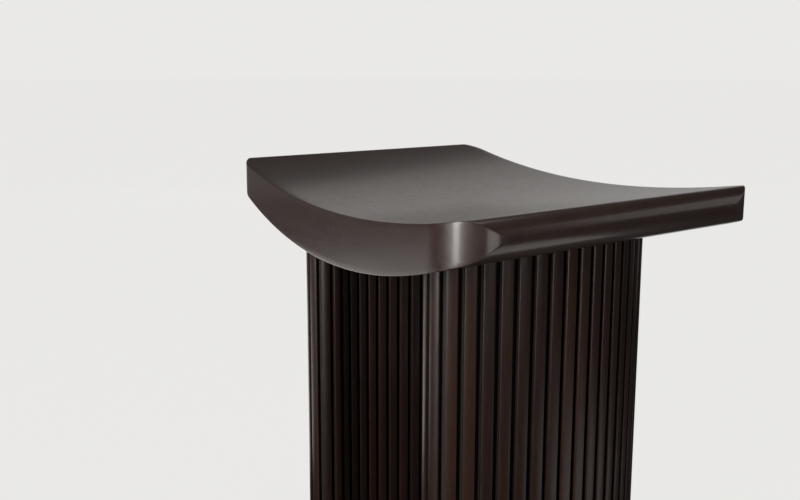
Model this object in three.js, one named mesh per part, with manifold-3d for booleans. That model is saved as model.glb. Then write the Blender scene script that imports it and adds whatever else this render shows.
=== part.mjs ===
// A wooden stool in the form of a carved headrest: a dished seat slab, glued up from boards,
// on two curved walls of reeded staves that stand face to face like a pair of brackets.
// Millimetres, +Z up. The origin is on the floor, under the middle of the seat.
// +X runs along the seat, from one rounded nose to the other, and Y runs across it.
import * as THREE from "three";
import { mergeVertices } from "three/addons/utils/BufferGeometryUtils.js";
import Module from "manifold-3d";

// Seat slab
const stoolHeight = 488; // floor to the highest line of the two noses
const seatLength = 480; // nose tip to nose tip
const seatWidth = 358; // flat side to flat side
const seatThickness = 52.3; // in the middle of the dish
const dishRadius = 1046; // the hollow that one sits in
const undersideRadius = 628; // the belly under it
const noseRadius = 13.5; // roll from the dish over to the nose tip
const planCornerRadius = 44.5; // corners of the slab, seen from above
const seatBoardCount = 6;

// Reeded walls
const wallOffset = 159.2; // middle of the stool to the middle of a wall, along X
const wallRadius = 210; // curve of the wall's centre line
const wallInset = 46.5; // flat side of the seat to the rounded end of a wall
const wallWidth = seatWidth - 2 * wallInset; // along Y, over the rounded ends
const wallThickness = 44;
const reedWidth = 16.8; // a reed and a groove, before they are fitted to the outline

// One reed, and the groove beside it
const grooveWidth = 5.4;
const grooveDepth = 6.5;
const reedShoulder = 1.2; // rounding of a reed's edges
const reedCrown = 0.4; // rise of a reed's face over its edges

// Dowels between the walls and the seat
const dowelRadius = 6;
const dowelInSeat = 24;
const dowelInWall = 44;
const dowelChamfer = 1;
const jointWood = 0.7; // least wood between a dowel's hole and the joint beside it

// Glides under the walls, each held by a tack
const glideRadius = 9;
const glideThickness = 5;
const glideEdge = 1; // chamfer round a glide
const tackHeadRadius = 3.5;
const tackHeadThickness = 1.2;
const tackHeadLift = 1.8; // floor to the tack's head, inside the glide
const tackShankRadius = 0.9;
const tackInWood = 15;
const tackPoint = 3;

// Clearances
const fitGap = 0.3; // between pieces that touch or are glued
const holeEndGap = 1; // past the end of a dowel or a tack

// Facets
const seatArcSteps = 26;
const noseArcSteps = 5;
const cornerArcSteps = 10;
const roundSides = 20;

const mahogany = { color: 0x3d332f, roughness: 0.42, metalness: 0 };
const darkMahogany = { color: 0x2f2421, roughness: 0.4, metalness: 0 };
const beech = { color: 0xb08d62, roughness: 0.7, metalness: 0 };
const nylon = { color: 0x2b2624, roughness: 0.6, metalness: 0 };
const steel = { color: 0x8d8f92, roughness: 0.35, metalness: 1 };

const wasm = await Module();
wasm.setup();

// A closed three.js geometry as a solid that can be cut.
function solidOf(geometry) {
  const bare = geometry.index ? geometry.toNonIndexed() : geometry.clone();
  bare.deleteAttribute("normal");
  bare.deleteAttribute("uv");
  const merged = mergeVertices(bare, 1e-4);
  return new wasm.Manifold(
    new wasm.Mesh({
      numProp: 3,
      vertProperties: merged.attributes.position.array,
      triVerts: new Uint32Array(merged.index.array),
    }),
  );
}

// The triangles of a solid, for a mesh.
function geometryOf(solid) {
  const { vertProperties, triVerts, numProp } = solid.getMesh();
  const position = new Float32Array((vertProperties.length / numProp) * 3);
  for (let i = 0; i < position.length / 3; i++) {
    position.set(vertProperties.subarray(i * numProp, i * numProp + 3), i * 3);
  }
  const geometry = new THREE.BufferGeometry();
  geometry.setAttribute("position", new THREE.BufferAttribute(position, 3));
  geometry.setIndex(new THREE.BufferAttribute(triVerts, 1));
  const faceted = geometry.toNonIndexed();
  faceted.computeVertexNormals();
  return faceted;
}

// A named mesh in its own material.
function piece(name, geometry, finish) {
  const mesh = new THREE.Mesh(geometry, new THREE.MeshStandardMaterial(finish));
  mesh.name = name;
  return mesh;
}

// An outline in X and Y, raised from one height to another.
function uprightPrism(points, bottom, top) {
  const geometry = new THREE.ExtrudeGeometry(new THREE.Shape(points), {
    depth: top - bottom,
    bevelEnabled: false,
  });
  return geometry.translate(0, 0, bottom);
}

// A profile in X and Z, run across the stool from one Y to another.
function crosswisePrism(points, fromY, toY) {
  const geometry = new THREE.ExtrudeGeometry(new THREE.Shape(points), {
    depth: toY - fromY,
    bevelEnabled: false,
  });
  return geometry.rotateX(Math.PI / 2).translate(0, toY, 0);
}

// A turned piece, upright, from the radii and heights of its profile.
function turned(profile) {
  const points = profile.map(([radius, height]) => new THREE.Vector2(radius, height));
  return new THREE.LatheGeometry(points, roundSides).rotateX(Math.PI / 2);
}

// A round hole's tool, upright.
function bore(radius, x, y, bottom, top) {
  const geometry = turned([
    [0, bottom],
    [radius, bottom],
    [radius, top],
    [0, top],
  ]);
  return solidOf(geometry.translate(x, y, 0));
}

// Points on an arc about a centre, from one angle to another, both ends included.
function arcPoints(centreX, centreY, radius, from, to, steps) {
  return Array.from({ length: steps + 1 }, (_, i) => {
    const angle = from + ((to - from) * i) / steps;
    return new THREE.Vector2(
      centreX + radius * Math.cos(angle),
      centreY + radius * Math.sin(angle),
    );
  });
}

// ---- Seat ----

const tipX = seatLength / 2;
const noseZ = stoolHeight - noseRadius; // height of the nose tips
const dishCentreZ = noseZ + Math.sqrt((dishRadius + noseRadius) ** 2 - (tipX - noseRadius) ** 2);
const dishZ = dishCentreZ - dishRadius;
const bellyZ = dishZ - seatThickness;
const bellyCentreZ = bellyZ + undersideRadius;
// The lower roll of the nose touches the belly and meets the upper roll at the tip.
const lowerNoseRadius =
  (undersideRadius ** 2 - tipX ** 2 - (bellyCentreZ - noseZ) ** 2) / (2 * (undersideRadius - tipX));

// Height of the underside of the seat at a distance from the middle.
function undersideAt(x) {
  return bellyCentreZ - Math.sqrt(undersideRadius ** 2 - x ** 2);
}

// The slab's profile, anticlockwise in X and Z: belly, nose, dish, nose.
function seatProfile() {
  const lowerTurn = Math.asin((tipX - lowerNoseRadius) / (undersideRadius - lowerNoseRadius));
  const upperTurn = Math.asin((tipX - noseRadius) / (dishRadius + noseRadius));
  const down = -Math.PI / 2;
  const up = Math.PI / 2;
  const belly = arcPoints(
    0, bellyCentreZ, undersideRadius, down - lowerTurn, down + lowerTurn, seatArcSteps,
  );
  const lowerNose = arcPoints(
    tipX - lowerNoseRadius, noseZ, lowerNoseRadius, down + lowerTurn, 0, noseArcSteps,
  );
  const upperNose = arcPoints(
    tipX - noseRadius, noseZ, noseRadius, 0, up + upperTurn, noseArcSteps,
  );
  const dish = arcPoints(
    0, dishCentreZ, dishRadius, down + upperTurn, down - upperTurn, seatArcSteps,
  );
  const rightNose = [...lowerNose.slice(1), ...upperNose.slice(1)];
  const leftNose = rightNose.map((p) => new THREE.Vector2(-p.x, p.y)).reverse();
  return [...belly, ...rightNose, ...dish.slice(1), ...leftNose.slice(1, -1)];
}

// The slab seen from above, with its rounded corners.
function seatPlan() {
  const centreX = tipX - planCornerRadius;
  const centreY = seatWidth / 2 - planCornerRadius;
  const corner = (signX, signY, from) =>
    arcPoints(
      signX * centreX, signY * centreY, planCornerRadius, from, from + Math.PI / 2, cornerArcSteps,
    );
  return [
    ...corner(1, -1, -Math.PI / 2),
    ...corner(1, 1, 0),
    ...corner(-1, 1, Math.PI / 2),
    ...corner(-1, -1, Math.PI),
  ];
}

// ---- Walls ----

// A wall is drawn in its own frame: the stool's middle at the origin, the wall at +X.
// Its bare outline is a bar of even thickness bent along the centre line, with round ends.
// Places along it are lengths from the middle of the outer face, positive towards -Y.
const halfWall = wallThickness / 2;
const wallCentreX = wallOffset - wallRadius;
const endAngle = Math.asin((wallWidth / 2 - halfWall) / wallRadius);
const outerLength = (wallRadius + halfWall) * endAngle;
const endLength = Math.PI * halfWall;
const innerLength = (wallRadius - halfWall) * endAngle;
const halfOutline = outerLength + endLength + innerLength;
const reedsPerHalf = Math.round(halfOutline / reedWidth);
const reedPitch = halfOutline / reedsPerHalf;

// Whole reeds on an arc, shared between its two staves, from the middle of the wall.
function staveReeds(arcLength) {
  const count = Math.floor(arcLength / reedPitch);
  const first = Math.ceil(count / 2);
  return [first, count - first];
}

const outerReeds = staveReeds(outerLength);
const innerReeds = staveReeds(innerLength);

// The point at a length along the outline, moved out of the wall by a height.
function onOutline(length, height) {
  const side = Math.sign(length) || 1;
  const along = Math.abs(length);
  const place = (centreX, centreY, radius, angle) =>
    new THREE.Vector2(
      centreX + radius * Math.cos(angle),
      -side * (centreY + radius * Math.sin(angle)),
    );
  if (along <= outerLength) {
    const radius = wallRadius + halfWall;
    return place(wallCentreX, 0, radius + height, along / radius);
  }
  if (along <= outerLength + endLength) {
    const centreX = wallCentreX + wallRadius * Math.cos(endAngle);
    const centreY = wallRadius * Math.sin(endAngle);
    const turn = (along - outerLength) / halfWall;
    return place(centreX, centreY, halfWall + height, endAngle + turn);
  }
  const radius = wallRadius - halfWall;
  const angle = (halfOutline - along) / radius;
  return place(wallCentreX, 0, radius - height, angle);
}

// The reeded outline from one groove to another, as seen going towards rising lengths.
// It starts and ends on the floor of a groove, where two pieces are glued.
function reedLine(fromGroove, toGroove) {
  const half = grooveWidth / 2;
  const floor = half - reedShoulder / 4;
  const shoulderSine = Math.SQRT1_2;
  const edge = [
    [floor, -grooveDepth],
    [half, -reedCrown - reedShoulder],
    [half + reedShoulder * (1 - shoulderSine), -reedCrown - reedShoulder * (1 - shoulderSine)],
    [half + reedShoulder, -reedCrown],
  ];
  const reed = [
    ...edge,
    [reedPitch / 2, 0],
    ...edge.map(([across, height]) => [reedPitch - across, height]).reverse(),
  ];
  const points = [onOutline(fromGroove * reedPitch + fitGap / 2, -grooveDepth)];
  for (let groove = fromGroove; groove < toGroove; groove++) {
    for (const [across, height] of reed) {
      points.push(onOutline(groove * reedPitch + across, height));
    }
  }
  points.push(onOutline(toGroove * reedPitch - fitGap / 2, -grooveDepth));
  return points;
}

// The grooves that bound each piece of a wall, outside and inside, from the middle to the end.
function wallPieces() {
  const pieces = [];
  let outer = 0;
  let inner = reedsPerHalf;
  outerReeds.forEach((reeds, i) => {
    pieces.push({ outer: [outer, outer + reeds], inner: [inner - innerReeds[i], inner] });
    outer += reeds;
    inner -= innerReeds[i];
  });
  return { staves: pieces, nose: [outer, inner] };
}

const footZ = glideThickness + fitGap; // underside of the walls
const pieces = wallPieces();

// The middle of a stave on the wall's centre line.
function staveMiddle({ outer, inner }, side) {
  const outside = onOutline((side * reedPitch * (outer[0] + outer[1])) / 2, -halfWall);
  const inside = onOutline((side * reedPitch * (inner[0] + inner[1])) / 2, -halfWall);
  return outside.add(inside).multiplyScalar(1 / 2);
}

// The middle of a wall's rounded end, or a little further out if the joint comes too near.
function noseMiddle(side) {
  const [outerGroove, innerGroove] = pieces.nose;
  const outerTurn = (outerLength - outerGroove * reedPitch) / (wallRadius + halfWall);
  const innerTurn = (innerGroove * reedPitch - outerLength - endLength) / (wallRadius - halfWall);
  const fromJoint = (wallRadius * (outerTurn + innerTurn)) / 2;
  const outwards = Math.max(0, dowelRadius + fitGap + jointWood - fromJoint);
  return onOutline(side * (outerLength + endLength / 2), outwards - halfWall);
}

// The wall's pieces with the place of the dowel in each.
function wallPlan() {
  const plan = [];
  for (const [label, side] of [["a", 1], ["b", -1]]) {
    pieces.staves.forEach((stave, i) => {
      const lines = [stave.outer, stave.inner].map(([from, to]) =>
        side > 0 ? reedLine(from, to) : reedLine(-to, -from),
      );
      plan.push({
        name: `stave_${label}${i + 1}`,
        outline: lines.flat(),
        centre: staveMiddle(stave, side),
        glide: i === 0,
      });
    });
    const [from, to] = pieces.nose;
    plan.push({
      name: `end_stave_${label}`,
      outline: side > 0 ? reedLine(from, to) : reedLine(-to, -from),
      centre: noseMiddle(side),
      glide: true,
    });
  }
  return plan;
}

const plan = wallPlan();

// Everything over the underside of the seat, with the glue gap, taken off a wall's top.
function overSeatUnderside() {
  const half = tipX + planCornerRadius;
  const turn = Math.asin((tipX - lowerNoseRadius) / (undersideRadius - lowerNoseRadius));
  const down = -Math.PI / 2;
  const belly = arcPoints(
    0, bellyCentreZ - fitGap, undersideRadius, down - turn, down + turn, seatArcSteps,
  );
  const top = stoolHeight + seatThickness;
  const points = [
    new THREE.Vector2(-half, belly[0].y),
    ...belly,
    new THREE.Vector2(half, belly[0].y),
    new THREE.Vector2(half, top),
    new THREE.Vector2(-half, top),
  ];
  return solidOf(crosswisePrism(points, -seatWidth, seatWidth));
}

// The hole that a dowel sits in, through the joint between a wall and the seat.
function dowelHole({ x, y }) {
  const joint = undersideAt(x);
  return bore(
    dowelRadius + fitGap, x, y,
    joint - dowelInWall - holeEndGap, joint + dowelInSeat + holeEndGap,
  );
}

function dowelGeometry({ x, y }) {
  const bottom = undersideAt(x) - dowelInWall;
  const top = undersideAt(x) + dowelInSeat;
  const profile = [
    [0, bottom],
    [dowelRadius - dowelChamfer, bottom],
    [dowelRadius, bottom + dowelChamfer],
    [dowelRadius, top - dowelChamfer],
    [dowelRadius - dowelChamfer, top],
    [0, top],
  ];
  return turned(profile).translate(x, y, 0);
}

function glideGeometry({ x, y }) {
  const hole = tackShankRadius + fitGap;
  const pocket = tackHeadRadius + fitGap;
  const profile = [
    [0, 0],
    [glideRadius - glideEdge, 0],
    [glideRadius, glideEdge],
    [glideRadius, glideThickness - glideEdge / 2],
    [glideRadius - glideEdge / 2, glideThickness],
    [hole, glideThickness],
    [hole, tackHeadLift + tackHeadThickness + fitGap],
    [pocket, tackHeadLift + tackHeadThickness + fitGap],
    [pocket, tackHeadLift - fitGap],
    [0, tackHeadLift - fitGap],
  ];
  return turned(profile).translate(x, y, 0);
}

function tackGeometry({ x, y }) {
  const tip = footZ + tackInWood;
  const profile = [
    [0, tackHeadLift],
    [tackHeadRadius, tackHeadLift],
    [tackHeadRadius, tackHeadLift + tackHeadThickness],
    [tackShankRadius, tackHeadLift + tackHeadThickness],
    [tackShankRadius, tip - tackPoint],
    [0, tip],
  ];
  return turned(profile).translate(x, y, 0);
}

// One wall with its dowels, glides and tacks, at +X.
function wallGroup(label) {
  const group = new THREE.Group();
  const above = overSeatUnderside();
  for (const { name, outline, centre, glide } of plan) {
    let wood = solidOf(uprightPrism(outline, footZ, stoolHeight)).subtract(above);
    wood = wood.subtract(dowelHole(centre));
    if (glide) {
      wood = wood.subtract(
        bore(
          tackShankRadius + fitGap, centre.x, centre.y,
          footZ - holeEndGap, footZ + tackInWood + holeEndGap,
        ),
      );
      group.add(piece(`${label}_glide_${name}`, glideGeometry(centre), nylon));
      group.add(piece(`${label}_tack_${name}`, tackGeometry(centre), steel));
    }
    group.add(piece(`${label}_${name}`, geometryOf(wood), darkMahogany));
    group.add(piece(`${label}_dowel_${name}`, dowelGeometry(centre), beech));
  }
  return group;
}

// The seat's boards, edge to edge across it, with the dowel holes of both walls.
function seatGroup() {
  const group = new THREE.Group();
  const profile = seatProfile();
  const outline = solidOf(uprightPrism(seatPlan(), 0, stoolHeight + seatThickness));
  const boardWidth = seatWidth / seatBoardCount;
  const holes = plan.flatMap(({ centre }) => [
    dowelHole(centre),
    dowelHole({ x: -centre.x, y: -centre.y }),
  ]);
  for (let i = 0; i < seatBoardCount; i++) {
    const from = -seatWidth / 2 + i * boardWidth;
    const inset = fitGap / 2;
    const start = i === 0 ? from : from + inset;
    const end = i === seatBoardCount - 1 ? from + boardWidth : from + boardWidth - inset;
    let board = solidOf(crosswisePrism(profile, start, end)).intersect(outline);
    for (const hole of holes) {
      board = board.subtract(hole);
    }
    group.add(piece(`seat_board_${i + 1}`, geometryOf(board), mahogany));
  }
  return group;
}

const stool = new THREE.Group();
stool.add(seatGroup());
const rightWall = wallGroup("right");
const leftWall = wallGroup("left");
leftWall.rotation.z = Math.PI;
stool.add(rightWall, leftWall);

export default stool;
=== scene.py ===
"""Visual model of a dark wooden stool in the form of a carved headrest.

Metres, +Z up, with the origin on the floor under the middle of the seat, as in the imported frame.
The seat is a dished slab of six boards with rolled noses, and it stands on two curved walls of
reeded staves. Each board and stave is a closed surface worked out as whole arrays.
"""

from __future__ import annotations

import logging
import math
from dataclasses import dataclass
from enum import Enum
from functools import cached_property

import bmesh
import bpy
import numpy as np
from bpy.types import Material, Node, NodeSocket, Object, World
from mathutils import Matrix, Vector


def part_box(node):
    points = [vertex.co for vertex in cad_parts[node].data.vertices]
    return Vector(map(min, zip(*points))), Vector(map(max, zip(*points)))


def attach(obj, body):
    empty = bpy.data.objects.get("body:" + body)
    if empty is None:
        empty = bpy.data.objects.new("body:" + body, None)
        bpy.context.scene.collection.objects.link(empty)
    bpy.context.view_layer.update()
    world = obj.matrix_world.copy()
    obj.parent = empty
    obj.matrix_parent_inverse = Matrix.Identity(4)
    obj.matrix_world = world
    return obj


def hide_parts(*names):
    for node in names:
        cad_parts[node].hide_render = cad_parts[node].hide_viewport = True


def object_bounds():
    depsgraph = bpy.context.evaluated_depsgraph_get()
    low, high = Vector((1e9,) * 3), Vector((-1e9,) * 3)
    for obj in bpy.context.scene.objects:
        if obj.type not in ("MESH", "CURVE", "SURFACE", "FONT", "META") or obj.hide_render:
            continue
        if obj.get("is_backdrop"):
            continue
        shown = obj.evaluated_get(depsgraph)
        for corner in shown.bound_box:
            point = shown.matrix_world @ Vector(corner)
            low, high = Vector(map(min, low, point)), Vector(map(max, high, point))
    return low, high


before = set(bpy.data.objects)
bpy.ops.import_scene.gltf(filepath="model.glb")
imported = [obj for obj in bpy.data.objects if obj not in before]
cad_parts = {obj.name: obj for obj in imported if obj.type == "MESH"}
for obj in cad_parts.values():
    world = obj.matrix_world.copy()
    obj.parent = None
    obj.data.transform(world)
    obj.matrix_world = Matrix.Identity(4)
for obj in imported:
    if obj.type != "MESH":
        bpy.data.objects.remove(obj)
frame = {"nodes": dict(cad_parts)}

log = logging.getLogger("stool")

Colour = tuple[float, float, float, float]
Point = tuple[float, float, float]
Stops = tuple[tuple[float, float], tuple[float, float]]

ROOT = "root"
WELD = 1e-7
FULL_TURN = 2 * math.pi
QUARTER_TURN = math.pi / 2

# Sockets of a Mix node that mixes colours
MIX_FACTOR, MIX_FIRST, MIX_SECOND, MIX_RESULT = 0, 6, 7, 2


# ---- Meshes ----


def ring_faces(rows: int, ring: int) -> np.ndarray:
    """Quads of a grid whose rows are closed rings, as indices into row-major points.

    Args:
        rows: number of rings.
        ring: points in one ring.

    Returns:
        An array of shape ((rows - 1) * ring, 4).
    """
    row = np.arange(rows - 1)[:, None] * ring
    here = np.arange(ring)[None, :]
    there = (here + 1) % ring
    quads = np.stack([row + here, row + there, row + ring + there, row + ring + here], axis=-1)
    return quads.reshape(-1, 4)


def ladder_faces(left: np.ndarray, right: np.ndarray) -> np.ndarray:
    """Quads between two rails of as many points each, given as point indices."""
    return np.stack([left[:-1], left[1:], right[1:], right[:-1]], axis=-1)


def solid_mesh(
    name: str,
    points: np.ndarray,
    faces: np.ndarray,
    attributes: dict[str, np.ndarray] | None = None,
    smooth_angle: float = math.radians(32),
) -> Object:
    """A closed mesh object from points and quads, welded, with its faces turned outwards.

    Args:
        name: name of the object.
        points: array of shape (n, 3).
        faces: array of shape (m, 4) of point indices.
        attributes: point attributes by name, one number or one 3-vector per point.
        smooth_angle: edges sharper than this stay sharp, in radians.

    Returns:
        The object, at the origin and linked to the scene.
    """
    mesh = bpy.data.meshes.new(name)
    mesh.from_pydata(points.tolist(), [], faces.tolist())
    for key, values in (attributes or {}).items():
        kind, part = ("FLOAT", "value") if values.ndim == 1 else ("FLOAT_VECTOR", "vector")
        layer = mesh.attributes.new(key, kind, "POINT")
        layer.data.foreach_set(part, values.astype(np.float32).ravel())
    work = bmesh.new()
    work.from_mesh(mesh)
    bmesh.ops.remove_doubles(work, verts=work.verts, dist=WELD)
    bmesh.ops.dissolve_degenerate(work, edges=work.edges, dist=WELD)
    bmesh.ops.recalc_face_normals(work, faces=work.faces)
    work.to_mesh(mesh)
    work.free()
    mesh.shade_smooth()
    mesh.set_sharp_from_angle(angle=smooth_angle)
    made = bpy.data.objects.new(name, mesh)
    bpy.context.scene.collection.objects.link(made)
    return made


def place_piece(piece: Object, node: str, material: Material) -> Object:
    """Puts a fine piece in the place of a CAD node, on the one rigid body, in its finish.

    Args:
        piece: the fine piece.
        node: name of the CAD node that it stands for.
        material: the finish.

    Returns:
        The piece.
    """
    piece.data.materials.clear()
    piece.data.materials.append(material)
    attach(piece, ROOT)
    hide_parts(node)
    return piece


# ---- Shader maths ----


class NodeTree:
    """The nodes of a material or a world, built up by calls."""

    def __init__(self, owner: Material | World) -> None:
        """Starts with no nodes.

        Args:
            owner: what the nodes belong to.
        """
        owner.use_nodes = True
        self.tree = owner.node_tree
        self.tree.nodes.clear()

    def node(self, kind: str, settings: dict, inputs: dict) -> Node:
        """Adds a node.

        Args:
            kind: the node's type.
            settings: its own properties, set first; "stops" gives both stops of a ramp.
            inputs: values or links of its sockets, by name or index.

        Returns:
            The node.
        """
        made = self.tree.nodes.new(kind)
        for key, value in settings.items():
            if key == "stops":
                for stop, (place, level) in zip(made.color_ramp.elements, value):
                    stop.position, stop.color = place, (level, level, level, 1.0)
            else:
                setattr(made, key, value)
        for key, value in inputs.items():
            self.feed(made.inputs[key], value)
        return made

    def feed(self, socket: NodeSocket, value: object) -> None:
        """Links or sets a socket.

        Args:
            socket: the input socket.
            value: a Signal or a socket to link, or a plain value to set.
        """
        if isinstance(value, Signal):
            value = value.socket
        if isinstance(value, NodeSocket):
            self.tree.links.new(value, socket)
        else:
            socket.default_value = value


class Signal:
    """A number that varies over a surface: a shader socket that takes part in expressions."""

    def __init__(self, tree: NodeTree, socket: NodeSocket) -> None:
        """Wraps a socket of a tree."""
        self.tree = tree
        self.socket = socket

    def _math(self, operation: str, first: Signal | float, second: Signal | float) -> Signal:
        """Adds a Math node on two values."""
        node = self.tree.node("ShaderNodeMath", {"operation": operation}, {0: first, 1: second})
        return Signal(self.tree, node.outputs[0])

    def __add__(self, other: Signal | float) -> Signal:
        """self + other."""
        return self._math("ADD", self, other)

    def __radd__(self, other: float) -> Signal:
        """other + self."""
        return self._math("ADD", other, self)

    def __sub__(self, other: Signal | float) -> Signal:
        """self - other."""
        return self._math("SUBTRACT", self, other)

    def __rsub__(self, other: float) -> Signal:
        """other - self."""
        return self._math("SUBTRACT", other, self)

    def __mul__(self, other: Signal | float) -> Signal:
        """self * other."""
        return self._math("MULTIPLY", self, other)

    def __rmul__(self, other: float) -> Signal:
        """other * self."""
        return self._math("MULTIPLY", other, self)


class Shader(NodeTree):
    """A material with one surface shader, and the patterns that feed it."""

    def __init__(self, name: str) -> None:
        """Starts a material with its surface shader and its output.

        Args:
            name: name of the material.
        """
        self.material = bpy.data.materials.new(name)
        super().__init__(self.material)
        self.surface = self.node("ShaderNodeBsdfPrincipled", {}, {})
        self.node("ShaderNodeOutputMaterial", {}, {"Surface": self.surface.outputs[0]})

    def varying(self, **values: object) -> None:
        """Feeds the shader's sockets with what changes over the surface."""
        for key, value in values.items():
            self.feed(self.surface.inputs[key.replace("_", " ")], value)

    def constant(self, **values: object) -> None:
        """Sets numbers and colours that are the same all over, on the shader's own sockets."""
        for key, value in values.items():
            self.surface.inputs[key.replace("_", " ")].default_value = value

    def object_place(self) -> NodeSocket:
        """Object coordinates, in metres."""
        return self.node("ShaderNodeTexCoord", {}, {}).outputs["Object"]

    def vector_attribute(self, name: str) -> NodeSocket:
        """A vector attribute of the mesh."""
        return self.node("ShaderNodeAttribute", {"attribute_name": name}, {}).outputs["Vector"]

    def number_attribute(self, name: str) -> Signal:
        """A number attribute of the mesh."""
        node = self.node("ShaderNodeAttribute", {"attribute_name": name}, {})
        return Signal(self, node.outputs["Fac"])

    def moved(self, place: NodeSocket, by: NodeSocket) -> NodeSocket:
        """A place moved by a vector."""
        node = self.node("ShaderNodeVectorMath", {"operation": "ADD"}, {0: place, 1: by})
        return node.outputs[0]

    def mapped(
        self, place: NodeSocket, scale: Point, turn: Point = (0.0, 0.0, 0.0)
    ) -> NodeSocket:
        """A place turned, and then stretched along each axis.

        Args:
            place: the place's socket.
            scale: how fast a pattern changes along X, Y and Z.
            turn: angles about X, Y and Z, in radians.

        Returns:
            The new place's socket.
        """
        turned = self.node("ShaderNodeMapping", {}, {"Vector": place, "Rotation": turn})
        inputs = {"Vector": turned.outputs[0], "Scale": scale}
        return self.node("ShaderNodeMapping", {}, inputs).outputs[0]

    def noise(
        self, place: NodeSocket, scale: float, detail: float = 2.0, roughness: float = 0.5
    ) -> Signal:
        """Noise from 0 to 1 at a place, of a scale in waves per metre."""
        inputs = {"Vector": place, "Scale": scale, "Detail": detail, "Roughness": roughness}
        return Signal(self, self.node("ShaderNodeTexNoise", {}, inputs).outputs[0])

    def ramp(self, value: Signal, stops: Stops) -> Signal:
        """A value passed through a ramp of two stops, each a place and a grey level."""
        node = self.node("ShaderNodeValToRGB", {"stops": stops}, {"Fac": value})
        return Signal(self, node.outputs[0])

    def mixed(self, factor: Signal, first: object, second: object) -> NodeSocket:
        """A colour between two colours or their sockets: 0 gives the first, and 1 the second."""
        inputs = {MIX_FACTOR: factor, MIX_FIRST: first, MIX_SECOND: second}
        return self.node("ShaderNodeMix", {"data_type": "RGBA"}, inputs).outputs[MIX_RESULT]

    def bumped(self, height: Signal, strength: float, distance: float) -> NodeSocket:
        """A surface normal from a height."""
        inputs = {"Height": height, "Strength": strength, "Distance": distance}
        return self.node("ShaderNodeBump", {}, inputs).outputs[0]


# ---- Finishes ----


class Grain(Enum):
    """Which way the wood of a piece runs, as how fast its figure changes along X, Y and Z."""

    ALONG_SEAT = (1.0, 9.0, 9.0)
    UPRIGHT = (9.0, 9.0, 1.0)

    @property
    def fine(self) -> Point:
        """The same for the pores: three times as fast across the grain, slower along it."""
        return tuple(3.0 * rate if rate > 1.0 else 0.7 for rate in self.value)


@dataclass(frozen=True)
class WoodFigure:
    """The pattern of the wood: scales in waves per metre, and what each part of it adds."""

    figure_scale: float = 5.0
    figure_share: float = 0.9
    streak_scale: float = 42.0
    streak_share: float = 0.5
    ribbon_scale: float = 6.0
    ribbon_share: float = 0.4
    ribbon_stretch: Point = (2.0, 1.0, 7.0)
    ribbon_slant: Point = (0.0, math.radians(28.0), 0.0)
    shares_offset: float = 0.4
    pore_scale: float = 150.0
    pore_stops: Stops = ((0.33, 1.0), (0.41, 0.0))
    pore_share: float = 0.45
    pore_darkness: float = 0.45
    bump_strength: float = 0.3
    bump_depth: float = 0.00012
    streak_relief: float = 0.25
    streak_roughness: float = 0.14
    pore_roughness: float = 0.10
    rubbed_smoothness: float = 0.05
    hollow_roughness: float = 0.35


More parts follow.
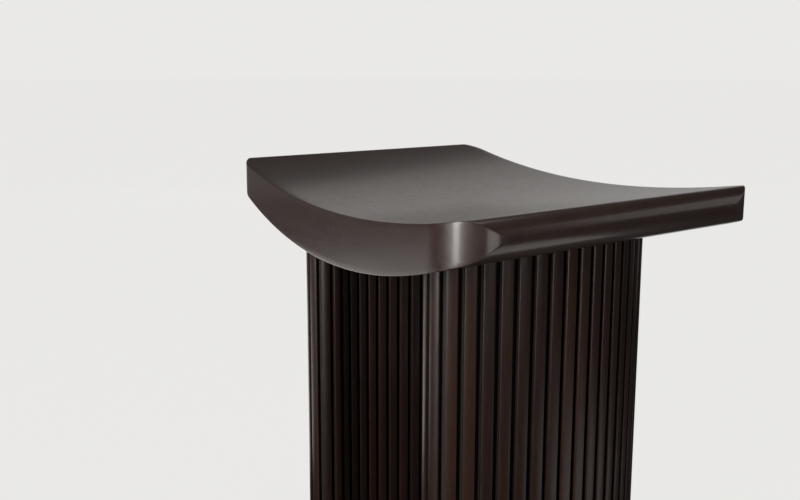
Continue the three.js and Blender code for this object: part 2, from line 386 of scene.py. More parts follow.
@dataclass(frozen=True)
class WoodFinish:
    """Stained mahogany under a satin lacquer.

    The colour goes between two stains with a slow figure along the grain, finer streaks and
    short dark pores. A tone attribute lightens or darkens single reeds. A second attribute
    lightens and smooths edges, partly wear and partly painted highlight. A third paints shade
    deep in the grooves, where it also roughens the wood and leaves it without lacquer.
    """

    name: str
    grain: Grain
    dark: Colour
    light: Colour
    # edge colour: partly wear, partly painted highlight; then painted shade for the grooves
    rubbed: Colour
    painted_groove_shade: Colour
    roughness: float
    lacquer: float
    lacquer_roughness: float = 0.25
    specular: float = 0.5
    # shares of the edge colour (wear and painted highlight) and of the painted groove shade
    rubbed_share: float = 0.6
    painted_groove_shade_share: float = 0.85
    figure: WoodFigure = WoodFigure()

    def stain(self, shader: Shader, place: NodeSocket, streak: Signal, pores: Signal) -> NodeSocket:
        """Colour of the wood before wear: figure, streaks, a slanted ribbon, tone and pores.

        Args:
            shader: the material's shader.
            place: the place's socket.
            streak: the fine streaks.
            pores: the mask of the pores.

        Returns:
            The colour's socket.
        """
        figure = self.figure
        along = shader.mapped(place, self.grain.value)
        slow = shader.noise(along, figure.figure_scale, detail=3.0, roughness=0.55)
        slanted = shader.mapped(place, figure.ribbon_stretch, figure.ribbon_slant)
        ribbon = shader.noise(slanted, figure.ribbon_scale, detail=1.0)
        blend = slow * figure.figure_share + streak * figure.streak_share
        blend = blend + ribbon * figure.ribbon_share + shader.number_attribute("tone")
        blend = shader.ramp(blend - figure.shares_offset, ((0.0, 0.0), (1.0, 1.0)))
        pore_colour = tuple(figure.pore_darkness * part for part in self.dark[:3]) + (1.0,)
        stained = shader.mixed(blend, self.dark, self.light)
        return shader.mixed(pores * figure.pore_share, stained, pore_colour)

    def material(self) -> Material:
        """Builds the material: stain, then wear at the edges, then gathered stain over both.

        Returns:
            The material.
        """
        shader = Shader(self.name)
        figure = self.figure
        place = shader.moved(shader.object_place(), shader.vector_attribute("grain_shift"))
        along = shader.mapped(place, self.grain.value)
        streak = shader.noise(along, figure.streak_scale, detail=3.0, roughness=0.6)
        fine = shader.mapped(place, self.grain.fine)
        pores = shader.ramp(shader.noise(fine, figure.pore_scale, detail=1.0), figure.pore_stops)
        # edge lightening (wear and painted highlight), and groove depth for the painted shade
        lit_wear = shader.number_attribute("rubbed")
        hollow = shader.number_attribute("hollow")
        colour = self.stain(shader, place, streak, pores)
        # lighter edges: partly wear, partly painted highlight
        colour = shader.mixed(lit_wear * self.rubbed_share, colour, self.rubbed)
        # painted shade deep in the grooves
        colour = shader.mixed(hollow * self.painted_groove_shade_share, colour, self.painted_groove_shade)
        smoothest = self.roughness - figure.streak_roughness / 2
        rough = streak * figure.streak_roughness + pores * figure.pore_roughness + smoothest
        rough = rough - lit_wear * figure.rubbed_smoothness + hollow * figure.hollow_roughness
        height = streak * figure.streak_relief - pores
        shader.varying(
            Base_Color=colour,
            Roughness=rough,
            Coat_Weight=(1.0 - hollow) * self.lacquer,
            Normal=shader.bumped(height, figure.bump_strength, figure.bump_depth),
        )
        shader.constant(Specular_IOR_Level=self.specular, Coat_Roughness=self.lacquer_roughness)
        return shader.material


@dataclass(frozen=True)
class DowelFinish:
    """Plain beech, pale, with short flecks along its length."""

    name: str = "beech_dowel"
    pale: Colour = (0.45, 0.29, 0.15, 1.0)
    fleck: Colour = (0.26, 0.14, 0.06, 1.0)
    stretch: Point = (10.0, 10.0, 1.0)
    fibre_scale: float = 60.0
    fibre_share: float = 0.4
    fleck_scale: float = 190.0
    fleck_stops: Stops = ((0.62, 0.0), (0.7, 1.0))
    fleck_share: float = 0.5
    roughness: float = 0.55
    fibre_roughness: float = 0.2
    bump_strength: float = 0.3
    bump_depth: float = 0.0001

    def material(self) -> Material:
        """Builds the material: fibres along the dowel, and flecks where finer noise is high.

        Returns:
            The material.
        """
        shader = Shader(self.name)
        place = shader.mapped(shader.object_place(), self.stretch)
        fibre = shader.noise(place, self.fibre_scale, detail=3.0, roughness=0.6)
        flecks = shader.ramp(shader.noise(place, self.fleck_scale, detail=1.0), self.fleck_stops)
        blend = fibre * self.fibre_share + flecks * self.fleck_share
        shader.varying(
            Base_Color=shader.mixed(blend, self.pale, self.fleck),
            Roughness=fibre * self.fibre_roughness + self.roughness,
            Normal=shader.bumped(fibre, self.bump_strength, self.bump_depth),
        )
        return shader.material


@dataclass(frozen=True)
class GlideFinish:
    """Moulded dark nylon, with fine scuffs."""

    name: str = "glide_nylon"
    colour: Colour = (0.022, 0.019, 0.017, 1.0)
    scuffed: Colour = (0.06, 0.055, 0.05, 1.0)
    grain_scale: float = 900.0
    scuff_scale: float = 160.0
    scuff_stretch: Point = (1.0, 6.0, 1.0)
    scuff_turn: Point = (0.0, 0.0, 0.7)
    scuff_stops: Stops = ((0.58, 0.0), (0.68, 1.0))
    scuff_share: float = 0.6
    roughness: float = 0.45
    scuff_roughness: float = 0.2
    grain_roughness: float = 0.1
    bump_strength: float = 0.2
    bump_depth: float = 0.0001

    def material(self) -> Material:
        """Builds the material: a fine moulded grain, and long scuffs where noise is high.

        Returns:
            The material.
        """
        shader = Shader(self.name)
        place = shader.object_place()
        grain = shader.noise(place, self.grain_scale)
        drawn = shader.mapped(place, self.scuff_stretch, self.scuff_turn)
        scuffs = shader.ramp(shader.noise(drawn, self.scuff_scale), self.scuff_stops)
        rough = scuffs * self.scuff_roughness + grain * self.grain_roughness
        shader.varying(
            Base_Color=shader.mixed(scuffs * self.scuff_share, self.colour, self.scuffed),
            Roughness=rough + self.roughness,
            Normal=shader.bumped(grain, self.bump_strength, self.bump_depth),
        )
        return shader.material


@dataclass(frozen=True)
class TackFinish:
    """Drawn steel wire, bright, with faint lines round it."""

    name: str = "tack_steel"
    colour: Colour = (0.48, 0.48, 0.49, 1.0)
    dull: Colour = (0.25, 0.25, 0.25, 1.0)
    stretch: Point = (1.0, 1.0, 14.0)
    line_scale: float = 220.0
    line_share: float = 0.6
    roughness: float = 0.2
    line_roughness: float = 0.25

    def material(self) -> Material:
        """Builds the material: noise pressed flat along Z makes the lines.

        Returns:
            The material.
        """
        shader = Shader(self.name)
        place = shader.mapped(shader.object_place(), self.stretch)
        lines = shader.noise(place, self.line_scale)
        shader.varying(
            Base_Color=shader.mixed(lines * self.line_share, self.colour, self.dull),
            Roughness=lines * self.line_roughness + self.roughness,
        )
        shader.constant(Metallic=1.0)
        return shader.material


SEAT_WOOD = WoodFinish(
    name="seat_mahogany",
    grain=Grain.ALONG_SEAT,
    dark=(0.028, 0.0135, 0.0105, 1.0),
    light=(0.062, 0.033, 0.026, 1.0),
    # lighter edge colour (wear and painted highlight), then painted shade for grooves
    rubbed=(0.10, 0.068, 0.056, 1.0),
    painted_groove_shade=(0.010, 0.006, 0.005, 1.0),
    roughness=0.31,
    lacquer=0.45,
    lacquer_roughness=0.16,
)
WALL_WOOD = WoodFinish(
    name="wall_mahogany",
    grain=Grain.UPRIGHT,
    dark=(0.013, 0.0044, 0.0026, 1.0),
    light=(0.043, 0.0160, 0.0092, 1.0),
    # lighter edge colour (wear and painted highlight), then painted shade for grooves
    rubbed=(0.08, 0.048, 0.036, 1.0),
    painted_groove_shade=(0.0022, 0.0010, 0.0008, 1.0),
    roughness=0.40,
    lacquer=0.08,
    specular=0.33,
)


# ---- Seat ----


class Face(Enum):
    """A broad face of the slab, as the sign of the way into the wood along Z."""

    UNDER = 1.0
    TOP = -1.0


class Side(Enum):
    """A long side of the slab, as the sign of its Y."""

    FRONT = -1.0
    BACK = 1.0


@dataclass(frozen=True)
class SeatShape:
    """The seat slab: a profile of circles along X, and a plan with rounded corners."""

    length: float
    width: float
    height: float
    thickness: float = 0.0523
    dish_radius: float = 1.046
    belly_radius: float = 0.628
    nose_radius: float = 0.0135
    corner_radius: float = 0.0445

    @cached_property
    def tip(self) -> float:
        """Distance from the middle to a nose tip."""
        return self.length / 2

    @cached_property
    def nose_z(self) -> float:
        """Height of the nose tips."""
        return self.height - self.nose_radius

    @cached_property
    def dish_centre_z(self) -> float:
        """Height of the middle of the dish circle, which touches both noses from outside."""
        reach = self.dish_radius + self.nose_radius
        return self.nose_z + math.sqrt(reach**2 - (self.tip - self.nose_radius) ** 2)

    @cached_property
    def belly_centre_z(self) -> float:
        """Height of the middle of the underside's circle."""
        return self.dish_centre_z - self.dish_radius - self.thickness + self.belly_radius

    @cached_property
    def lower_nose_radius(self) -> float:
        """The lower roll, which touches the belly circle and ends upright at the nose's tip."""
        spare = self.belly_radius**2 - self.tip**2 - (self.belly_centre_z - self.nose_z) ** 2
        return spare / (2 * (self.belly_radius - self.tip))

    def at(self, face: Face, x: np.ndarray) -> np.ndarray:
        """Height of a broad face: its large circle, and past where they touch, its nose roll.

        Args:
            face: the face. The roll lies outside the dish circle and inside the belly circle.
            x: places along the seat.

        Returns:
            Heights, in the shape of x.
        """
        if face is Face.TOP:
            radius, roll, middle_z = self.dish_radius, self.nose_radius, self.dish_centre_z
        else:
            radius, roll, middle_z = self.belly_radius, self.lower_nose_radius, self.belly_centre_z
        up = -face.value
        away = np.abs(x)
        centre = self.tip - roll
        touch = centre * radius / (radius + up * roll)
        broad = middle_z - np.sqrt(radius**2 - np.minimum(away, touch) ** 2)
        rise = np.sqrt(np.maximum(roll**2 - (away - centre) ** 2, 0.0))
        return np.where(away <= touch, broad, self.nose_z + up * rise)


@dataclass
class Seat:
    """The six boards of the slab."""

    shape: SeatShape
    finish: WoodFinish
    nodes: list[str]
    edge: float = 0.0006
    edge_limit: float = 0.2  # most of the slab's depth that one rounded edge takes
    # lightening of the lower rim and of the noses: partly wear, partly painted highlight
    rim_wear_and_highlight: float = 0.3
    nose_wear_and_highlight: float = 0.25
    nose_wear_and_highlight_reach: float = 1.5  # in nose radii
    corner_steps: int = 90
    side_steps: int = 150
    arc_steps: int = 6
    wall_steps: int = 10
    across_steps: int = 8
    seed: int = 11
    grain_spread: float = 0.05
    tone_spread: float = 0.06

    @cached_property
    def side_line(self) -> tuple[np.ndarray, np.ndarray]:
        """One long side of the plan from nose tip to nose tip, and its outward normals.

        The angle off the side's own normal goes from a quarter turn to none round the first
        corner, stays there along the side, and goes on to a quarter turn at the other tip.

        Returns:
            Two arrays of shape (n, 2) for the side at -Y.
        """
        shape = self.shape
        quarter = np.linspace(-QUARTER_TURN, 0.0, self.corner_steps)
        along = np.linspace(-1.0, 1.0, self.side_steps)[1:-1]
        turn = np.concatenate([quarter, np.zeros_like(along), -quarter[::-1]])
        reach = shape.tip - shape.corner_radius
        centre_x = np.concatenate(
            [np.full_like(quarter, -reach), along * reach, np.full_like(quarter, reach)]
        )
        centre_y = np.full_like(centre_x, -shape.width / 2 + shape.corner_radius)
        normal = np.stack([np.sin(turn), -np.cos(turn)], axis=-1)
        return np.stack([centre_x, centre_y], axis=-1) + shape.corner_radius * normal, normal

    def half_ring(self, inner: float, face: Face) -> np.ndarray:
        """A broad face of an outer board, from the joint out, and its rounded edge.

        Y goes evenly from the joint to the edge. A point of the edge at an angle t lies
        r (1 - sin t) inside the plan's line and r (1 - cos t) inside the face, with r smaller
        where the slab is thin.

        Args:
            inner: distance of the joint from the middle of the seat.
            face: which face it is.

        Returns:
            An array of shape (n, across_steps + arc_steps, 3), for the side at -Y.
        """
        line, normal = self.side_line
        depth = self.shape.at(Face.TOP, line[:, 0]) - self.shape.at(Face.UNDER, line[:, 0])
        radius = np.minimum(self.edge, depth * self.edge_limit)[:, None]
        turn = np.linspace(0.0, QUARTER_TURN, self.arc_steps + 1)[None, :]
        spot = line[:, None, :] - (radius * (1 - np.sin(turn)))[..., None] * normal[:, None, :]
        height = self.shape.at(face, spot[..., 0]) + face.value * radius * (1 - np.cos(turn))
        arc = np.stack([spot[..., 0], spot[..., 1], height], axis=-1)
        share = np.linspace(0.0, 1.0, self.across_steps)[None, :-1]
        x = np.repeat(arc[:, :1, 0], self.across_steps - 1, axis=1)
        y = -inner * (1.0 - share) + arc[:, :1, 1] * share
        return np.concatenate([np.stack([x, y, self.shape.at(face, x)], axis=-1), arc], axis=1)

    def lit_worn_noses(self, rings: np.ndarray) -> np.ndarray:
        """Lighter upper roll of the noses (wear and painted highlight), fading away from the tips.

        Args:
            rings: points of a board.

        Returns:
            The lightening of each point, from 0 to 1.
        """
        reach = self.shape.nose_radius * self.nose_wear_and_highlight_reach
        near = 1.0 - np.clip((self.shape.tip - np.abs(rings[..., 0])) / reach, 0.0, 1.0)
        upper = (rings[..., 2] > self.shape.nose_z).astype(float)
        return self.nose_wear_and_highlight * near * upper

    def inner_board(self, low: float, high: float) -> tuple[np.ndarray, np.ndarray]:
        """Rings of a board that runs straight from nose to nose, with wear and painted highlight.

        A ring stands across the board at one X: the underside from low to high, then the top
        from high back to low.

        Args:
            low: Y of its one joint.
            high: Y of its other joint.

        Returns:
            Points of shape (n, ring, 3), and how much each is lightened by wear and painted
            highlight.
        """
        x = self.side_line[0][:, 0]
        across = np.linspace(low, high, self.across_steps)
        y = np.concatenate([across, across[::-1]])
        heights = [
            np.repeat(self.shape.at(face, x)[:, None], self.across_steps, axis=1) for face in Face
        ]
        z = np.concatenate(heights, axis=1)
        rings = np.stack(np.broadcast_arrays(x[:, None], y[None, :], z), axis=-1)
        return rings, self.lit_worn_noses(rings)

    def outer_board(self, inner: float, side: Side) -> tuple[np.ndarray, np.ndarray]:
        """Rings of a board whose outer side is the slab's side, with wear and painted highlight.

        A ring goes out along the underside from the joint, round a small arc, up the side,
        round another arc and back along the top. It is worked out for the side at -Y.

        Args:
            inner: distance of the joint from the middle of the seat.
            side: the side that the board is on.

        Returns:
            Points of shape (n, ring, 3), and how much each is lightened by wear and painted
            highlight.
        """
        under = self.half_ring(inner, Face.UNDER)
        over = self.half_ring(inner, Face.TOP)
        share = np.linspace(0.0, 1.0, self.wall_steps + 1)[None, 1:-1, None]
        upright = under[:, -1:, :] * (1.0 - share) + over[:, -1:, :] * share
        rings = np.concatenate([under, upright, over[:, ::-1, :]], axis=1)
        lit_wear = self.lit_worn_noses(rings)
        rim = under.shape[1]
        # the lower rim's arc is lightened: partly wear, partly painted highlight
        lit_wear[:, rim - self.arc_steps - 1 : rim] = self.rim_wear_and_highlight
        rings[..., 1] *= -side.value
        return rings, lit_wear

    def build(self) -> list[Object]:
        """Builds and dresses the boards, one for each CAD node.

        Returns:
            The boards, from -Y to +Y.
        """
        material = self.finish.material()
        rng = np.random.default_rng(self.seed)
        step = self.shape.width / len(self.nodes)
        made = []
        for index, node in enumerate(self.nodes):
            start = -self.shape.width / 2 + index * step
            if index == 0:
                rings, lit_wear = self.outer_board(-(start + step), Side.FRONT)
            elif index == len(self.nodes) - 1:
                rings, lit_wear = self.outer_board(start, Side.BACK)
            else:
                rings, lit_wear = self.inner_board(start, start + step)
            shift = rng.uniform(-self.grain_spread, self.grain_spread, 3)
            tone = rng.uniform(-self.tone_spread, self.tone_spread)
            attributes = {
                # edge lightening (wear and painted highlight); the seat gets no painted groove
                # shade
                "rubbed": lit_wear.ravel(),
                "hollow": np.zeros(lit_wear.size),
                "tone": np.full(lit_wear.size, tone),
                "grain_shift": np.tile(shift, (lit_wear.size, 1)),
            }
            faces = ring_faces(*lit_wear.shape)
            name = f"seat_plank_{index + 1}"
            piece = solid_mesh(name, rings.reshape(-1, 3), faces, attributes)
            made.append(place_piece(piece, node, material))
        return made


# ---- Walls ----


@dataclass(frozen=True)
class ReedSection:
    """One reed and half of the groove on each side of it."""

    groove: float = 0.0054
    depth: float = 0.0065
    shoulder: float = 0.0012
    crown: float = 0.0004
    floor_fillet: float = 0.0006
    arc_steps: int = 6
    face_steps: int = 8

    def points(self, pitch: float) -> np.ndarray:
        """Section from one groove's middle to the next, as places across and heights.

        The floor turns up through a small concave arc, the side ends in a convex shoulder, and
        the face is a parabola that rises by the crown. The second half mirrors the first.

        Args:
            pitch: distance between grooves.

        Returns:
            An array of shape (n, 2); the last point is the next section's first.
        """
        half = self.groove / 2
        turn = np.linspace(0.0, QUARTER_TURN, self.arc_steps + 1)
        fillet = self.floor_fillet
        floor = np.stack(
            [half - fillet + fillet * np.sin(turn), fillet * (1 - np.cos(turn)) - self.depth], -1
        )
        top = -self.crown - self.shoulder
        edge = np.stack(
            [half + self.shoulder * (1 - np.cos(turn)), top + self.shoulder * np.sin(turn)], -1
        )
        start = half + self.shoulder
        share = np.linspace(0.0, 1.0, self.face_steps + 1)[1:]
        face = np.stack([start + (pitch / 2 - start) * share, -self.crown * (1 - share) ** 2], -1)
        rising = np.concatenate([[[0.0, -self.depth]], floor, edge, face])
        falling = rising[-2::-1] * [-1.0, 1.0] + [pitch, 0.0]
        return np.concatenate([rising, falling])


@dataclass(frozen=True)
class WallShape:
    """A bar of even thickness bent along an arc, with round ends and reeds all round.

    Places along its outline are lengths from the middle of the outer face, rising towards -Y.
    """

    offset: float = 0.1592
    radius: float = 0.210
    width: float = 0.265
    thickness: float = 0.044
    outer_reeds: tuple[int, ...] = (4, 3)
    inner_reeds: tuple[int, ...] = (3, 3)
    end_reeds: int = 5
    section: ReedSection = ReedSection()

    @cached_property
    def half(self) -> float:
        """Half the thickness."""
        return self.thickness / 2

    @cached_property
    def centre_x(self) -> float:
        """Middle of the arcs."""
        return self.offset - self.radius

    @cached_property
    def end_angle(self) -> float:
        """Angle from the middle of the wall to the middle of a round end."""
        return math.asin((self.width / 2 - self.half) / self.radius)

    @cached_property
    def lengths(self) -> tuple[float, float, float]:
        """Lengths of half the outline: its outer arc, round end and inner arc."""
        return (
            (self.radius + self.half) * self.end_angle,
            math.pi * self.half,
            (self.radius - self.half) * self.end_angle,
        )

    @cached_property
    def reeds_per_half(self) -> int:
        """Reeds on half the outline."""
        return sum(self.outer_reeds) + self.end_reeds + sum(self.inner_reeds)

    @cached_property
    def pitch(self) -> float:
        """Distance between grooves along the outline."""
        return sum(self.lengths) / self.reeds_per_half

    def outline(self, length: np.ndarray, height: np.ndarray) -> np.ndarray:
        """Points at lengths along the outline, moved out of the wall by heights.

        The outer arc and the inner arc turn about the bend's middle, and the round end about
        its own. A height adds to the radius outside and at the end, and comes off it inside.

        Args:
            length: places along the outline.
            height: heights over it.

        Returns:
            An array of shape (n, 2).
        """
        outer, end, inner = self.lengths
        along = np.abs(length)
        side = np.where(length < 0, 1.0, -1.0)
        big = self.radius + self.half
        small = self.radius - self.half
        parts = [along <= outer, along <= outer + end]
        round_turn = self.end_angle + (along - outer) / self.half
        angle = np.select(parts, [along / big, round_turn], (outer + end + inner - along) / small)
        reach = np.select(parts, [big + height, self.half + height], small - height)
        swing = self.radius * (parts[1] & ~parts[0])
        x = self.centre_x + swing * math.cos(self.end_angle) + reach * np.cos(angle)
        y = side * (swing * math.sin(self.end_angle) + reach * np.sin(angle))
        return np.stack([x, y], -1)

    def reeded(self, first: int, last: int) -> tuple[np.ndarray, np.ndarray, np.ndarray]:
        """The reeded line from one groove to another: the section, once for each reed.

        Args:
            first: number of its first groove.
            last: number of its last groove.

        Returns:
            Lengths along the outline, heights over it, and the number of each point's reed.
        """
        one = self.section.points(self.pitch)
        start = np.arange(first, last)
        lengths = (start[:, None] * self.pitch + one[None, :-1, 0]).ravel()
        heights = np.tile(one[:-1, 1], len(start))
        reeds = np.repeat(start, len(one) - 1)
        return (
            np.append(lengths, last * self.pitch),
            np.append(heights, one[-1, 1]),
            np.append(reeds, last - 1),
        )


class Hand(Enum):
    """The end of the seat that a wall stands under, as the sign of its X."""

    RIGHT = 1.0
    LEFT = -1.0


class Half(Enum):
    """A half of a wall, as the sign of its places along the outline."""

    A = 1
    B = -1

    def run(self, first: int, last: int) -> tuple[int, int]:
        """A run of grooves on this half."""
        return (first, last) if self is Half.A else (-last, -first)


@dataclass
class Wall:
    """One reeded wall, of staves and two round end staves."""

    hand: Hand
    shape: WallShape
    seat: SeatShape
    seed: int
    foot_edge: float = 0.0012
    glue_gap: float = 0.0003
    levels: int = 3  # rows of points: the foot, the top of its edge, and under the seat
    # lighter reed shoulders: partly wear, partly painted highlight
    shoulder_wear_and_highlight: float = 0.35
    shoulder_band_width: float = 0.0006
    stain_from: float = 0.0015  # depth in a groove where the painted shade begins
    shade_fade: float = 0.0025
    tone_spread: float = 0.42
    grain_spread: float = 0.4

    @cached_property
    def label(self) -> str:
        """The wall's name in its CAD nodes."""
        return self.hand.name.lower()

    def pieces(self) -> list[tuple[str, list[tuple[int, int]]]]:
        """The staves, counted from the middle of the wall to its ends.

        Returns:
            Each stave's name with the grooves that bound it: one run of reeds or two.
        """
        shape = self.shape
        found = []
        for half in Half:
            letter = half.name.lower()
            outer, inner = 0, shape.reeds_per_half
            for number, (out, back) in enumerate(zip(shape.outer_reeds, shape.inner_reeds), 1):
                runs = [half.run(outer, outer + out), half.run(inner - back, inner)]
                found.append((f"stave_{letter}{number}", runs))
                outer += out
                inner -= back
            found.append((f"end_stave_{letter}", [half.run(outer, inner)]))
        return found

    def raised(self, name: str, length: np.ndarray, height: np.ndarray) -> np.ndarray:
        """Points of a stave: its line at the foot, at the top of the foot's edge and at the top.

        At the foot the line is moved in, which makes a small edge. The top follows the
        underside of the seat, less the glue's gap.

        Args:
            name: the stave's name.
            length: places along the outline.
            height: heights over it.

        Returns:
            An array of shape (levels * n, 3).
        """
        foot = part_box(f"{self.label}_{name}")[0].z
        tucked = self.shape.outline(length, height - self.foot_edge)
        line = self.shape.outline(length, height)
        top = self.seat.at(Face.UNDER, line[:, 0]) - self.glue_gap
        rows = [
            np.column_stack([tucked, np.full_like(top, foot)]),
            np.column_stack([line, np.full_like(top, foot + self.foot_edge)]),
            np.column_stack([line, top]),
        ]
        return np.concatenate(rows) * [self.hand.value, self.hand.value, 1.0]

    def faces(self, count: int, split: int) -> np.ndarray:
        """Faces of a stave: its side, and rungs between two rails at the foot and at the top.

        The rails are the two parts of the line. The shorter one repeats points, so that both
        have as many.

        Args:
            count: points in the line.
            split: points in its first part.

        Returns:
            An array of shape (m, 4) of point indices.
        """
        loop = np.arange(count)
        rail = max(split, count - split)
        left, right = (
            part[np.round(np.linspace(0, len(part) - 1, rail)).astype(int)]
            for part in (loop[:split], loop[split:][::-1])
        )
        top = (self.levels - 1) * count
        side = ring_faces(self.levels, count)
        ends = [ladder_faces(left, right), ladder_faces(left + top, right + top)]
        return np.concatenate([side, *ends])

    def looks(self, name: str, height: np.ndarray, reed: np.ndarray) -> dict[str, np.ndarray]:
        """Attributes of a stave's points.

        Lightening, partly wear and partly painted highlight, is a bell curve over the height of
        the reeds' shoulders. Painted shade rises evenly with depth in the grooves, and there is
        none at the foot.

        Args:
            name: the stave's name, which sets its random draws.
            height: heights over the outline.
            reed: number of each point's reed.

        Returns:
            Arrays by attribute name.
        """
        rng = np.random.default_rng(self.seed + sum(ord(letter) for letter in name))
        numbers, which = np.unique(reed, return_inverse=True)
        tone = rng.uniform(-self.tone_spread, self.tone_spread, len(numbers))[which]
        shift = rng.uniform(-self.grain_spread, self.grain_spread, 3)
        below = (height + self.shape.section.crown + self.shoulder_band_width) / self.shoulder_band_width
        hollow = np.clip(-(height + self.stain_from) / self.shade_fade, 0.0, 1.0)
        return {
            # lighter shoulders: partly wear, partly painted highlight
            "rubbed": np.tile(self.shoulder_wear_and_highlight * np.exp(-(below**2)), self.levels),
            # painted shade deep in the grooves, none at the foot
            "hollow": np.concatenate([np.zeros_like(hollow), np.tile(hollow, self.levels - 1)]),
            "tone": np.tile(tone, self.levels),
            "grain_shift": np.tile(shift, (self.levels * len(height), 1)),
        }

    def stave(self, name: str, runs: list[tuple[int, int]]) -> Object:
        """Builds one stave, closed: reeded lines raised from the foot to under the seat.

        Args:
            name: the stave's name.
            runs: the grooves that bound its reeds. A single run is cut in two at its middle.

        Returns:
            The stave.
        """
        parts = [self.shape.reeded(*run) for run in runs]
        length, height, reed = (np.concatenate(column) for column in zip(*parts))
        split = len(parts[0][0]) if len(parts) == 2 else len(length) // 2
        return solid_mesh(
            f"{self.label}_wood_{name}",
            self.raised(name, length, height),
            self.faces(len(length), split),
            self.looks(name, height, reed),
        )

    def build(self, material: Material) -> list[Object]:
        """Builds and dresses the staves, in the finish that both walls share."""
        return [
            place_piece(self.stave(name, runs), f"{self.label}_{name}", material)
            for name, runs in self.pieces()
        ]


# ---- Glides, dowels and tacks ----


@dataclass
class Glides:
    """The round glides under the walls."""

    nodes: list[str]
    finish: GlideFinish
    around: int = 48
    arc_points: int = 7
    lower_edge: float = 0.0012
    upper_edge: float = 0.0006

    def disc(self, node: str) -> Object:
        """A disc turned about the middle of its CAD node.

        The profile goes from the axis over the flat underside, round a quarter circle, up the
        rim, round a smaller one and back over the top to the axis.

        Args:
            node: name of the node.

        Returns:
            The disc.
        """
        low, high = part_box(node)
        centre = (low + high) / 2
        radius = (high.x - low.x) / 2
        tall = high.z - low.z
        turn = np.linspace(0.0, QUARTER_TURN, self.arc_points)
        big, small = self.lower_edge, self.upper_edge
        lower = np.stack([radius - big + big * np.sin(turn), big * (1 - np.cos(turn))], -1)
        upper = np.stack(
            [radius - small + small * np.cos(turn), tall - small + small * np.sin(turn)], -1
        )
        profile = np.concatenate([[[0.0, 0.0]], lower, upper, [[0.0, tall]]])
        angle = np.linspace(0.0, FULL_TURN, self.around, endpoint=False)
        x = centre.x + profile[:, :1] * np.cos(angle)
        y = centre.y + profile[:, :1] * np.sin(angle)
        z = np.repeat(low.z + profile[:, 1:], self.around, axis=1)
        points = np.stack([x, y, z], -1).reshape(-1, 3)
        faces = ring_faces(len(profile), self.around)
        return solid_mesh(node.replace("glide_", "pad_"), points, faces)

    def build(self) -> list[Object]:
        """Builds and dresses one disc with rounded edges for each CAD glide."""
        material = self.finish.material()
        return [place_piece(self.disc(node), node, material) for node in self.nodes]


@dataclass
class HiddenParts:
    """Parts whose CAD shapes stay, found by a mark in their names, in a finish of their own."""

    mark: str
    nodes: dict[str, Object]
    finish: DowelFinish | TackFinish

    def build(self) -> list[Object]:
        """Dresses the parts.

        Returns:
            Their CAD nodes.
        """
        material = self.finish.material()
        found = [node for name, node in self.nodes.items() if self.mark in name]
        for node in found:
            node.data.materials.clear()
            node.data.materials.append(material)
        return found


# ---- Studio ----


@dataclass(frozen=True)
class SoftPanel:
    """A rectangle of soft light that faces a target."""

    name: str
    place: Point
    size: tuple[float, float]
    glow: float
    target: Point = (0.0, 0.0, 0.40)
    colour: tuple[float, float, float] = (1.0, 0.975, 0.945)
    diffuse: bool = True

    def build(self) -> None:
        """Adds the light, with a power of pi times its area for each unit of glow."""
        data = bpy.data.lights.new(self.name, "AREA")
        data.shape = "RECTANGLE"
        data.size, data.size_y = self.size
        data.color = self.colour
        data.energy = self.glow * math.pi * self.size[0] * self.size[1]
        lamp = bpy.data.objects.new(self.name, data)
        lamp.visible_camera = False
        lamp.visible_diffuse = self.diffuse
        lamp.location = self.place
        towards = Vector(self.target) - Vector(self.place)
        lamp.rotation_euler = towards.to_track_quat("-Z", "Y").to_euler()
        bpy.context.scene.collection.objects.link(lamp)


PANELS = (
    SoftPanel("front_strip", (0.635, -1.295, 0.70), (0.30, 1.24), 11.0),
    SoftPanel("front_sheen", (0.635, -1.295, 0.70), (0.30, 1.24), 26.0, diffuse=False),
    SoftPanel("left_wall", (-2.6, -0.6, 0.6), (2.4, 1.2), 0.18),
    SoftPanel("back_wall", (-2.4, 1.5, 0.72), (3.6, 1.4), 0.49),
    SoftPanel("right_card", (0.82, -0.09, 0.33), (0.26, 0.12), 3.2, (0.23, -0.15, 0.46)),
    SoftPanel("overhead", (-0.4, 0.2, 2.8), (2.4, 2.4), 0.95),
    SoftPanel("back_floor", (-1.45, 0.85, 0.01), (2.2, 2.2), 0.7, (-1.45, 0.85, 1.0)),
    SoftPanel("front_floor", (-0.85, -1.0, 0.01), (1.0, 1.0), 0.8, (-0.85, -1.0, 1.0)),
    SoftPanel("left_floor", (-0.75, -0.22, 0.01), (0.9, 0.8), 1.6, (-0.75, -0.22, 1.0)),
    SoftPanel("back_fill", (1.6, 2.6, 1.0), (2.0, 1.6), 0.6),
    SoftPanel("right_floor", (0.47, 0.27, 0.01), (0.34, 0.36), 0.9, (0.47, 0.27, 1.0)),
)


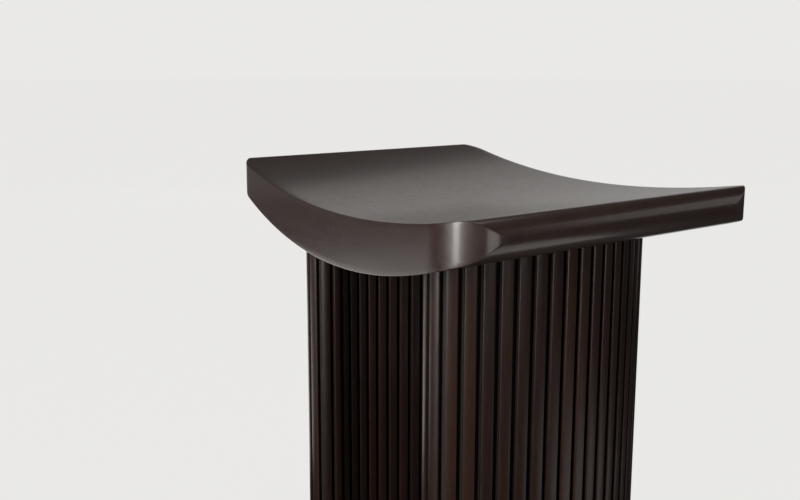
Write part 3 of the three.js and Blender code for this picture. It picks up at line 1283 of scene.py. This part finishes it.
@dataclass(frozen=True)
class Studio:
    """Pale floor, soft light and the camera."""

    panels: tuple[SoftPanel, ...] = PANELS
    backdrop: float = 0.823
    backdrop_tint: tuple[float, float, float] = (1.0, 0.992, 0.972)
    ambient: float = 0.03
    floor_radius: float = 40.0
    floor_sides: int = 96
    floor_shade: float = 0.03
    floor_roughness: float = 0.9
    floor_glow: float = 0.98
    camera_place: Point = (0.6636, -0.4878, 0.6003)
    camera_turn: float = math.radians(30.50)
    camera_dip: float = math.radians(7.70)
    sensor: float = 36.0
    lens: float = 33.57
    shift: tuple[float, float] = (0.0142, -0.102)

    def build(self) -> None:
        """Makes the world, the floor, the lights and the camera."""
        bpy.context.scene.view_settings.view_transform = "Standard"
        self.world()
        self.floor()
        for panel in self.panels:
            panel.build()
        self.camera()

    def tint(self, level: float) -> Colour:
        """The backdrop's colour at a level."""
        return tuple(level * channel for channel in self.backdrop_tint) + (1.0,)

    def world(self) -> None:
        """A pale surround that lights the object only weakly."""
        world = bpy.data.worlds.new("studio")
        bpy.context.scene.world = world
        nodes = NodeTree(world)
        light = nodes.node("ShaderNodeBackground", {}, {"Color": self.tint(self.ambient)})
        seen = nodes.node("ShaderNodeBackground", {}, {"Color": self.tint(self.backdrop)})
        path = nodes.node("ShaderNodeLightPath", {}, {})
        choice = {0: path.outputs["Is Camera Ray"], 1: light.outputs[0], 2: seen.outputs[0]}
        mix = nodes.node("ShaderNodeMixShader", {}, choice)
        nodes.node("ShaderNodeOutputWorld", {}, {"Surface": mix.outputs[0]})

    def floor(self) -> None:
        """A plain pale floor, mostly self-lit so that it meets the surround without a line."""
        angle = np.linspace(0.0, FULL_TURN, self.floor_sides, endpoint=False)
        rim = np.stack([np.cos(angle), np.sin(angle), np.zeros_like(angle)], -1)
        mesh = bpy.data.meshes.new("floor")
        mesh.from_pydata((rim * self.floor_radius).tolist(), [], [list(range(len(angle)))])
        shader = Shader("pale_floor")
        shader.constant(
            Base_Color=self.tint(self.floor_shade),
            Roughness=self.floor_roughness,
            Specular_IOR_Level=0.0,
            Emission_Color=self.tint(self.backdrop),
            Emission_Strength=self.floor_glow,
        )
        mesh.materials.append(shader.material)
        floor = bpy.data.objects.new("floor", mesh)
        floor.visible_diffuse = False
        floor.visible_glossy = False
        bpy.context.scene.collection.objects.link(floor)
        floor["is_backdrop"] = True

    def camera(self) -> None:
        """The camera, level in roll, with the lens shifted down a little."""
        data = bpy.data.cameras.new("camera")
        data.sensor_width = self.sensor
        data.lens = self.lens
        data.shift_x, data.shift_y = self.shift
        camera = bpy.data.objects.new("camera", data)
        flat = math.cos(self.camera_dip)
        west = -math.cos(self.camera_turn) * flat
        north = math.sin(self.camera_turn) * flat
        towards = Vector((west, north, -math.sin(self.camera_dip)))
        camera.location = self.camera_place
        camera.rotation_euler = towards.to_track_quat("-Z", "Y").to_euler()
        bpy.context.scene.collection.objects.link(camera)
        bpy.context.scene.camera = camera


def main() -> None:
    """Builds the stool and the studio round it, and reports each piece."""
    logging.basicConfig(level=logging.INFO, format="%(message)s")
    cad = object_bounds()
    low, high = cad  # the seat reaches furthest each way and up
    nodes = frame["nodes"]
    boards = sorted(name for name in nodes if name.startswith("seat_board_"))
    glides = sorted(name for name in nodes if "_glide_" in name)
    seat = SeatShape(length=high.x - low.x, width=high.y - low.y, height=high.z)
    wall = WallShape()
    pieces = Seat(seat, SEAT_WOOD, boards).build()
    wall_material = WALL_WOOD.material()
    pieces += Wall(Hand.RIGHT, wall, seat, seed=3).build(wall_material)
    pieces += Wall(Hand.LEFT, wall, seat, seed=5).build(wall_material)
    pieces += Glides(glides, GlideFinish()).build()
    pieces += HiddenParts("_dowel_", nodes, DowelFinish()).build()
    pieces += HiddenParts("_tack_", nodes, TackFinish()).build()
    for piece in pieces:
        finish = piece.data.materials[0].name
        log.info("%s: %d faces in %s", piece.name, len(piece.data.polygons), finish)
    Studio().build()


if __name__ == "__main__":
    main()
